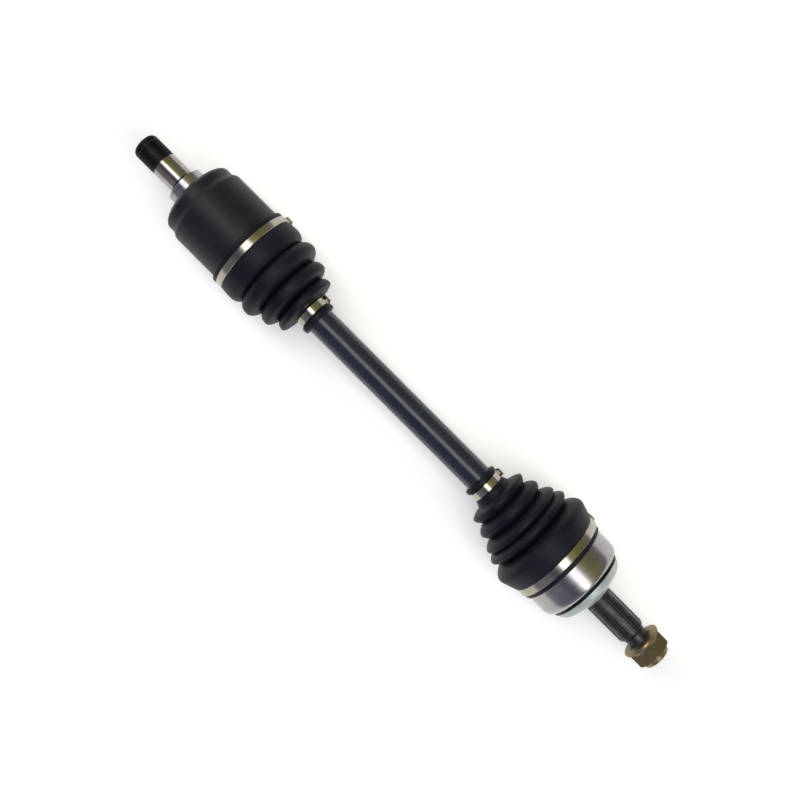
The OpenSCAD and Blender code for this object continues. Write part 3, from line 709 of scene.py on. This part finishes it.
def ear_outline(radius, ear_w, ear_h, steps=150):
    """The band's middle line as (angle, radius) points: a circle with a crimped ear."""
    half = ear_w / 2 / radius
    ring = [(a, radius) for a in np.linspace(half * 1.25, 2 * math.pi - half * 1.25, steps)]
    foot, waist, top = half * 1.02, half * 0.62, half * 0.80
    side = [(foot, 0.12), (waist, 0.42), (top, 0.78), (top * 0.86, 0.97), (top * 0.4, 1)]
    ear = [(-a, h) for a, h in side] + [(0, 0.94)] + side[::-1]
    return ring + [(a, radius + h * ear_h) for a, h in ear]


def strip(bm, path, x, width, thickness, closed):
    """Adds a band that follows (angle, radius) points from x on, its long edges slightly broken."""
    edge = min(0.22, thickness / 3)
    low, high = -thickness / 2, thickness / 2
    end = x + width
    section = [(x, low + edge), (x + edge, low), (end - edge, low), (end, low + edge),
               (end, high - edge), (end - edge, high), (x + edge, high), (x, high - edge)]
    spots = np.array([(r * math.cos(a), r * math.sin(a)) for a, r in path])
    along = np.roll(spots, -1, 0) - np.roll(spots, 1, 0)
    if not closed:
        along[0], along[-1] = spots[1] - spots[0], spots[-1] - spots[-2]
    along /= np.linalg.norm(along, axis=1)[:, None]
    out = np.stack([along[:, 1], -along[:, 0]], 1)
    rings = []
    for spot, normal in zip(spots, out):
        ring = [bm.verts.new((sx, *(spot + normal * lift))) for sx, lift in section]
        rings.append(ring)
    pairs = list(zip(rings, rings[1:])) + ([(rings[-1], rings[0])] if closed else [])
    for a, b in pairs:
        for k in range(len(section)):
            m = (k + 1) % len(section)
            bm.faces.new((a[k], a[m], b[m], b[k]))
    if not closed:
        bm.faces.new(rings[0])
        bm.faces.new(rings[-1][::-1])


def make_clamp(name, node, body, inner_r, width, ear_w, ear_h, thickness, hooks):
    """A band with a crimped ear, the tongue under the ear, and its hooks in a row beside it."""
    start, _ = cad_span(node)
    bm = bmesh.new()
    strip(bm, ear_outline(inner_r + thickness / 2, ear_w, ear_h), start, width, thickness, True)
    reach = ear_w * 0.8 / inner_r
    tongue = [(a, inner_r + 0.25 * thickness) for a in np.linspace(-reach, reach, 12)]
    strip(bm, tongue, start + 0.2 * width, 0.6 * width, 0.4 * thickness, False)
    low, high = inner_r + thickness * 0.8, inner_r + thickness * 1.15
    half = HOOK_HALF / inner_r
    for hook in range(hooks):
        at = ear_w * (1.15 + 0.75 * hook) / inner_r
        tab = [(at - half, low), (at - half * 0.3, high), (at + half * 0.3, high + 0.2),
               (at + half, low)]
        strip(bm, tab, start + 0.3 * width, 0.4 * width, 0.6 * thickness, False)
    bmesh.ops.rotate(bm, verts=bm.verts, cent=(0, 0, 0), matrix=Matrix.Rotation(EAR_ANGLE, 3, "X"))
    clamp = finish_mesh(name, bm, [band_steel], body, 40)
    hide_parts(node)


# ---- Make every piece ----

make_housing()
make_shaft()
make_bell()
make_nut()
make_inboard_boot()
make_outboard_boot()
make_clamp("inboard_wide_band", "inboard_wide_clamp", "inboard_housing",
           inner_r=39.8, width=6.4, ear_w=11, ear_h=4.6, thickness=0.9, hooks=2)
make_clamp("inboard_narrow_band", "inboard_narrow_clamp", "half_shaft",
           inner_r=13.9, width=7.0, ear_w=7.6, ear_h=4.2, thickness=0.8, hooks=1)
make_clamp("outboard_narrow_band", "outboard_narrow_clamp", "half_shaft",
           inner_r=13.9, width=7.0, ear_w=7.6, ear_h=4.2, thickness=0.8, hooks=1)
make_clamp("outboard_wide_band", "outboard_wide_clamp", "outboard_bell",
           inner_r=43.6, width=7.3, ear_w=11, ear_h=4.2, thickness=0.9, hooks=2)

# The sealed inner pieces are the CAD's own, with their materials set here
INNER_LOOKS = {
    "stub_retaining_ring": spring_steel, "tripod_spider": race_steel,
    "spider_snap_ring": spring_steel, "inner_race": race_steel,
    "inner_race_circlip": spring_steel, "ball_cage": race_steel,
}
for side in ("top", "left", "right"):
    INNER_LOOKS.update({
        f"roller_{side}": roller_steel, f"needles_{side}": roller_steel,
        f"roller_washer_{side}": race_steel, f"roller_snap_ring_{side}": spring_steel,
    })
for ball in range(1, 7):
    INNER_LOOKS[f"ball_{ball}"] = roller_steel
for node, material in INNER_LOOKS.items():
    cad_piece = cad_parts[node]
    for material_slot in cad_piece.material_slots:
        material_slot.material = material


# ---- Stage: floor, light and camera ----

FLOOR_Z = cad_box[0][2]
FLOOR_HALF = 12
FLOOR_GLOW = 0.3
VIEW_X = 0.2655
VIEW_HEIGHT = 0.8626
VIEW_TURN = math.pi / 4
VIEW_PIXELS = 1000
IMAGE_PIXELS = 800
SENSOR_WIDTH = 36


def make_floor():
    """A pale, slightly glowing floor that the camera sees as the photo's white ground."""
    bm = bmesh.new()
    bmesh.ops.create_grid(bm, x_segments=1, y_segments=1, size=FLOOR_HALF)
    mesh = bpy.data.meshes.new("floor")
    bm.to_mesh(mesh)
    bm.free()
    floor = bpy.data.objects.new("floor", mesh)
    floor.location = (VIEW_X, 0, FLOOR_Z)
    bpy.context.scene.collection.objects.link(floor)
    s = Shader("pale_floor", (0.9, 0.9, 0.9), 0.9, Specular_IOR_Level=0.1,
               Emission_Color=(1, 1, 1, 1), Emission_Strength=FLOOR_GLOW)
    cloud = s.noise(s.stretched((3, 3, 3)), detail=2)
    s.color(s.blend(cloud, (0.90, 0.90, 0.90), (0.89, 0.89, 0.89)))
    mesh.materials.append(s.material)


# The studio round the axle as (degrees from straight up towards -Y, colour): a white strip
# overhead, a dim cool side, and a warm side. It is the only light, and the camera sees BACKDROP
# in its place
STUDIO = [
    (-180, (0.30, 0.30, 0.30)), (-100, (0.26, 0.24, 0.25)), (-72, (0.24, 0.21, 0.20)),
    (-62, (0.24, 0.24, 0.12)), (-34, (0.26, 0.25, 0.10)), (-27, (0.42, 0.40, 0.14)),
    (-20, (0.22, 0.19, 0.09)), (-14, (0.3, 0.28, 0.22)), (-11, (3.6, 3.6, 3.6)),
    (8, (3.6, 3.6, 3.7)), (11, (0.12, 0.12, 0.15)), (32, (0.08, 0.08, 0.12)),
    (44, (0.22, 0.22, 0.27)), (88, (0.30, 0.30, 0.35)), (100, (0.4, 0.4, 0.43)),
    (180, (0.30, 0.30, 0.30)),
]
STRIP_GAIN = 4.0
BACKDROP = 0.97


def make_studio():
    """The world: a colour ramp by the angle about X, and a plain backdrop for camera rays."""
    world = bpy.data.worlds.new("studio")
    world.use_nodes = True
    tree = world.node_tree
    new, join = tree.nodes.new, tree.links.new
    split = new("ShaderNodeSeparateXYZ")
    join(new("ShaderNodeTexCoord").outputs["Generated"], split.inputs[0])
    angle = new("ShaderNodeMath")
    angle.operation = "ARCTAN2"
    join(split.outputs["Y"], angle.inputs[0])
    join(split.outputs["Z"], angle.inputs[1])
    share = new("ShaderNodeMapRange")
    for i, number in enumerate((math.pi, -math.pi, 0, 1), start=1):
        share.inputs[i].default_value = number
    join(angle.outputs[0], share.inputs[0])
    ramp = new("ShaderNodeValToRGB")
    elements = ramp.color_ramp.elements
    for degrees, color in STUDIO:
        element = elements.new((degrees + 180) / 360)
        element.color = (*(c / STRIP_GAIN for c in color), 1)
    elements.remove(elements[0])
    elements.remove(elements[len(elements) - 1])
    join(share.outputs[0], ramp.inputs[0])
    backdrop = new("ShaderNodeMix")
    backdrop.data_type = "RGBA"
    join(new("ShaderNodeLightPath").outputs["Is Camera Ray"], backdrop.inputs["Factor"])
    join(ramp.outputs[0], backdrop.inputs[6])
    backdrop.inputs[7].default_value = (*(BACKDROP / STRIP_GAIN,) * 3, 1)
    background = tree.nodes["Background"]
    join(backdrop.outputs[2], background.inputs["Color"])
    background.inputs["Strength"].default_value = STRIP_GAIN
    bpy.context.scene.world = world


def make_camera():
    """A camera that looks straight down, turned so that the axle runs down to the right."""
    lens = bpy.data.cameras.new("camera")
    lens.sensor_width = SENSOR_WIDTH
    lens.lens = SENSOR_WIDTH * VIEW_PIXELS / IMAGE_PIXELS
    camera = bpy.data.objects.new("camera", lens)
    camera.location = (VIEW_X, 0, VIEW_HEIGHT)
    camera.rotation_euler = (0, 0, VIEW_TURN)
    bpy.context.scene.collection.objects.link(camera)
    bpy.context.scene.camera = camera
    bpy.context.scene.view_settings.view_transform = "Standard"


make_floor()
make_studio()
make_camera()
